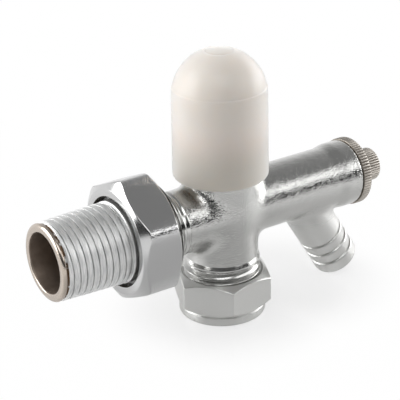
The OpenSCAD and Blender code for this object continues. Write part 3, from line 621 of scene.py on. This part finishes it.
# Drain gland and drain screw: turned brass with a straight knurl pressed in, dull nickel plated.
# The ring closes the drain tube on a fibre washer, and the knob's screw opens the drain.
def knurled_nickel(reach_in, reach_out, face):
    """Dull plate that is coloured darker in the grooves, between two radii of the knurl; the flat face
    shows the rings that the tool left."""
    def coats(made, coords):
        parts = add(made, "SeparateXYZ", {"Vector": coords})
        level = add(made, "Math", {0: parts.outputs["Z"], 1: axis_z * MM}, operation="SUBTRACT")
        flat = add(made, "CombineXYZ", {"X": parts.outputs["Y"], "Y": level.outputs[0]})
        out = add(made, "VectorMath", {0: flat.outputs[0]}, operation="LENGTH")
        crest = add(made, "MapRange", {"Value": out.outputs["Value"], "From Min": reach_in * MM,
                                       "From Max": reach_out * MM})
        on_face = add(made, "MapRange", {"Value": parts.outputs["X"], "From Min": (face - 0.3) * MM,
                                         "From Max": (face - 0.1) * MM})
        crest_or_face = add(made, "Math", {0: crest.outputs["Result"], 1: on_face.outputs["Result"]},
                    operation="MAXIMUM")
        cloud = add(made, "TexNoise", {"Vector": coords, "Scale": 1 / (1.6 * MM), "Detail": 3.0})
        shade = add(made, "Mix", {"Factor": cloud.outputs[0], "A": linear("b0aaa2"),
                                  "B": linear("c6c1ba")}, data_type="RGBA")
        # The grooves are coloured darker, 857e75, the crests and the flat face lighter
        darker_in_grooves = add(made, "Mix", {"Factor": crest_or_face.outputs[0], "A": linear("857e75"),
                                  "B": shade.outputs["Result"]}, data_type="RGBA")
        peel = add(made, "TexNoise", {"Vector": coords, "Scale": 1 / (0.4 * MM), "Detail": 2.0})
        ring = add(made, "TexNoise", {"W": out.outputs["Value"], "Scale": 1 / (0.22 * MM),
                                      "Detail": 1.0}, noise_dimensions="1D")
        height = add(made, "Math", {0: ring.outputs[0], 1: on_face.outputs["Result"],
                                    2: peel.outputs[0]}, operation="MULTIPLY_ADD")
        bump = add(made, "Bump", {"Height": height.outputs[0], "Strength": 1.0,
                                  "Distance": 0.02 * MM})
        return {"Base Color": darker_in_grooves.outputs["Result"], "Normal": bump.outputs[0]}
    return coats


def knurl_rows(radius, depth, ridges, low, high, edge, angles):
    """Rows along a straight knurl: flat-topped ridges that fade out over its two eased edges."""
    place = np.abs((angles * ridges / (2 * math.pi)) % 1 - 0.5) * 2
    groove = depth * np.clip((place - 0.35) / 0.5, 0, 1) ** 1.3
    rows = []
    for z, inset in ((low, edge), (low + edge * 0.3, edge * 0.3), (low + edge, 0), (high - edge, 0),
                     (high - edge * 0.3, edge * 0.3), (high, edge)):
        r = np.minimum(radius - groove, radius - inset)
        rows.append(np.stack([r * np.cos(angles), r * np.sin(angles), np.full(len(angles), z)], -1))
    return rows


ring_nickel = new_metal("dull_nickel_ring", "aaa59d", 0.40, knurled_nickel(9.2, 9.42, 44.5))
knob_nickel = new_metal("dull_nickel_knob", "aaa59d", 0.40, knurled_nickel(4.35, 4.58, 51.7))
ring_ridges, knob_ridges, knurl_depth = 72, 40, 0.28
ring_angles = np.linspace(0, 2 * math.pi, ring_ridges * 8 + 1)
ring_in = [(9.0, 44.5), (4.6, 44.5), (4.45, 44.1), (4.03, 44.1), (4.03, 37.65), (4.6, 37.6),
           (4.6, 35.1), (6.4, 35.1), (6.85, 35.6)]
shank = thread_rows(6.85, 35.6, 41.6, 1.25, 0.6, ring_angles, phase=35.6)
seat = [(6.85, 42.1), (8.88, 42.1), (8.9, 41.8), (9.0, 41.78)]
rows = (around(ring_in, ring_angles) + shank + around(seat, ring_angles)
        + knurl_rows(9.5, knurl_depth, ring_ridges, 41.78, 44.5, 0.4, ring_angles))
gland_ring = sheath("knurled_gland_ring", rows, [ring_nickel], "valve", 90,
                    (0, 0, axis_z))
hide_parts("drain_gland")

knob_angles = np.linspace(0, 2 * math.pi, knob_ridges * 8 + 1)
screw = thread_rows(3.95, 38.1, 43.9, 1.25, 0.5, knob_angles, phase=38.1)
rows = (around([(0, 27.65), (1.68, 27.65), (1.68, 21.65), (3.0, 21.65), (3.4, 22.05), (3.4, 38.0)],
               knob_angles) + screw + around([(3.45, 44.8), (4.0, 44.8)], knob_angles)
        + knurl_rows(4.65, knurl_depth, knob_ridges, 44.8, 51.7, 0.42, knob_angles)
        + around([(3.6, 51.7), (3.3, 51.6), (0.4, 51.6), (0, 51.6)], knob_angles))
knob = sheath("knurled_drain_knob", rows, [knob_nickel], "drain_screw", 90,
              (0, 0, axis_z))
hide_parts("drain_spindle")

# Lockshield cap: a thin shell moulded in milky white polypropylene, pushed over the bonnet.
# The dome meets the drawn wall in a faint line, and six ribs inside grip the bonnet's corners.
milky = bpy.data.materials.new("moulded_white_polypropylene")
milky.use_nodes = True
tree = milky.node_tree
tree.nodes.clear()
coords = add(tree, "TexCoord").outputs["Object"]
cloud = add(tree, "TexNoise", {"Vector": coords, "Scale": 1 / (9 * MM), "Detail": 2.0})
shade = add(tree, "Mix", {"Factor": cloud.outputs[0], "A": linear("f8e6dc"), "B": linear("fbebe2")},
            data_type="RGBA")
high = add(tree, "SeparateXYZ", {"Vector": coords}).outputs["Z"]
# Painted shade: from 57 mm down to 45 mm the wall's colour turns greyer, to d9d3ca, standing in for the dark brass
# headwork seen through the milky wall
painted_low_shade = add(tree, "MapRange", {"Value": high, "From Min": 57 * MM, "From Max": 45 * MM},
                   interpolation_type="SMOOTHSTEP")
through = add(tree, "Mix", {"Factor": painted_low_shade.outputs["Result"], "A": shade.outputs["Result"],
                            "B": linear("d9d3ca")}, data_type="RGBA")
mould = add(tree, "TexNoise", {"Vector": coords, "Scale": 1 / (1.5 * MM), "Detail": 3.0})
bump = add(tree, "Bump", {"Height": mould.outputs[0], "Strength": 1.0, "Distance": 0.01 * MM})
gloss = add(tree, "MapRange", {"Value": mould.outputs[0], "From Min": 0.3, "From Max": 0.7,
                               "To Min": 0.20, "To Max": 0.27})
wall = add(tree, "BsdfPrincipled", {
    "Base Color": through.outputs["Result"], "Roughness": gloss.outputs[0], "Normal": bump.outputs[0],
    "Specular IOR Level": 0.30, "Sheen Weight": 1.0, "Sheen Roughness": 0.5,
    "Subsurface Weight": 1.0, "Subsurface Radius": (1.0, 0.9, 0.8), "Subsurface Scale": 2.8 * MM})
add(tree, "OutputMaterial", {"Surface": wall.outputs[0]})

cap_z, cap_shoulder, dome_r, cap_wall = 39.8, 61.9, 12.5, 1.8
def on_dome(angle, sunk=0.0):
    """Radius and height on the dome, angle degrees up from its shoulder."""
    a = math.radians(angle)
    return (dome_r - sunk) * math.cos(a), cap_shoulder + (dome_r - sunk) * math.sin(a)


# A faint line closes the drawn wall, and a shallow ring marks the gate's disc on the top
dome = [on_dome(a) for a in np.linspace(12.5, 71, 22)]
dome += [on_dome(71.6, 0.04), on_dome(72.2, 0.11), on_dome(73.0, 0.11), on_dome(73.8, 0.05)]
dome += [on_dome(a, 0.02) for a in np.linspace(75, 90, 7)]
arc = np.radians(np.linspace(0, 90, 31))
dome_in = [((dome_r - cap_wall) * math.cos(a), cap_shoulder + (dome_r - cap_wall) * math.sin(a))
           for a in arc[::-1]]
skirt = eased([(10.9, cap_z), (12.3, cap_z), (12.7, 40.3), (12.69, 41.5), (12.51, 61.9), (12.38, 64.2),
               (12.25, 64.4), (12.2, 64.6)], 0.35)
outside = [(10.92, cap_z)] + [tuple(p) for p in skirt[4:-2]]
rows = around(outside + dome + dome_in + [(10.7, cap_shoulder), (10.9, 40.1)], turn)
cap = sheath("cap_shell", rows, [milky], "cap")
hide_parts("lockshield_cap")

rib_half, rib_lead = 0.6, 0.8
outline = [(10.68, 42.8), (11.1, 42.8), (11.1, 53.65), (8.6, 53.65), (7.8, 52.85), (7.8, 47.35),
           (9.875, 47.35), (9.875, 43.6)]
n = len(outline)
points, faces = [], []
for i in range(6):
    c, s = math.cos(math.pi / 3 * i), math.sin(math.pi / 3 * i)
    first = len(points)
    for out in (-rib_half, rib_half):
        points += [(r * c - out * s, r * s + out * c, z) for r, z in outline]
    for k in range(n):
        m = (k + 1) % n
        faces.append((first + k, first + m, first + n + m, first + n + k))
    for k in (0, n):
        faces += [(first + k, first + k + 1, first + k + 6, first + k + 7),
                  (first + k + 1, first + k + 2, first + k + 5, first + k + 6),
                  (first + k + 2, first + k + 3, first + k + 4, first + k + 5)]
ribs = make_piece("cap_ribs", points, faces, [milky], "cap")
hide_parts("lockshield_cap")

# Headwork and inner pieces: bonnet, spindle, plugs and nuts of turned brass, black rubber
# washers, white packing and a fibre washer. Their shapes are the frame's own.
def plain_matter(name, colour, other, roughness, grain, height):
    """A dull material: two colours in clouds and a fine grain, sizes in mm."""
    made = bpy.data.materials.new(name)
    made.use_nodes = True
    tree = made.node_tree
    tree.nodes.clear()
    coords = add(tree, "TexCoord").outputs["Object"]
    cloud = add(tree, "TexNoise", {"Vector": coords, "Scale": 1 / (grain * MM), "Detail": 4.0})
    shade = add(tree, "Mix", {"Factor": cloud.outputs[0], "A": linear(colour), "B": linear(other)},
                data_type="RGBA")
    bump = add(tree, "Bump", {"Height": cloud.outputs[0], "Strength": 1.0, "Distance": height * MM})
    skin = add(tree, "BsdfPrincipled", {"Base Color": shade.outputs["Result"], "Roughness": roughness,
                                        "Normal": bump.outputs[0]})
    add(tree, "OutputMaterial", {"Surface": skin.outputs[0]})
    return made


rubber = plain_matter("moulded_black_rubber", "161616", "262524", 0.55, 0.8, 0.02)
packing = plain_matter("pressed_white_packing", "dedcd6", "efeeea", 0.6, 0.5, 0.02)
fibre = plain_matter("pressed_grey_fibre", "57504a", "7a726a", 0.8, 0.4, 0.03)
finishes = {
    raw_brass: ["bonnet", "gland_nut", "gland_washer", "regulating_spindle", "valve_plug", "plug_nut",
                "drain_plug", "drain_nut"],
    rubber: ["bonnet_seal", "plug_washer", "union_o_ring", "drain_washer"],
    packing: ["gland_packing", "drain_packing"],
    fibre: ["drain_gland_seal"]}
for finish, nodes in finishes.items():
    for node in nodes:
        for slot in bpy.data.objects[node].material_slots:
            slot.material = finish
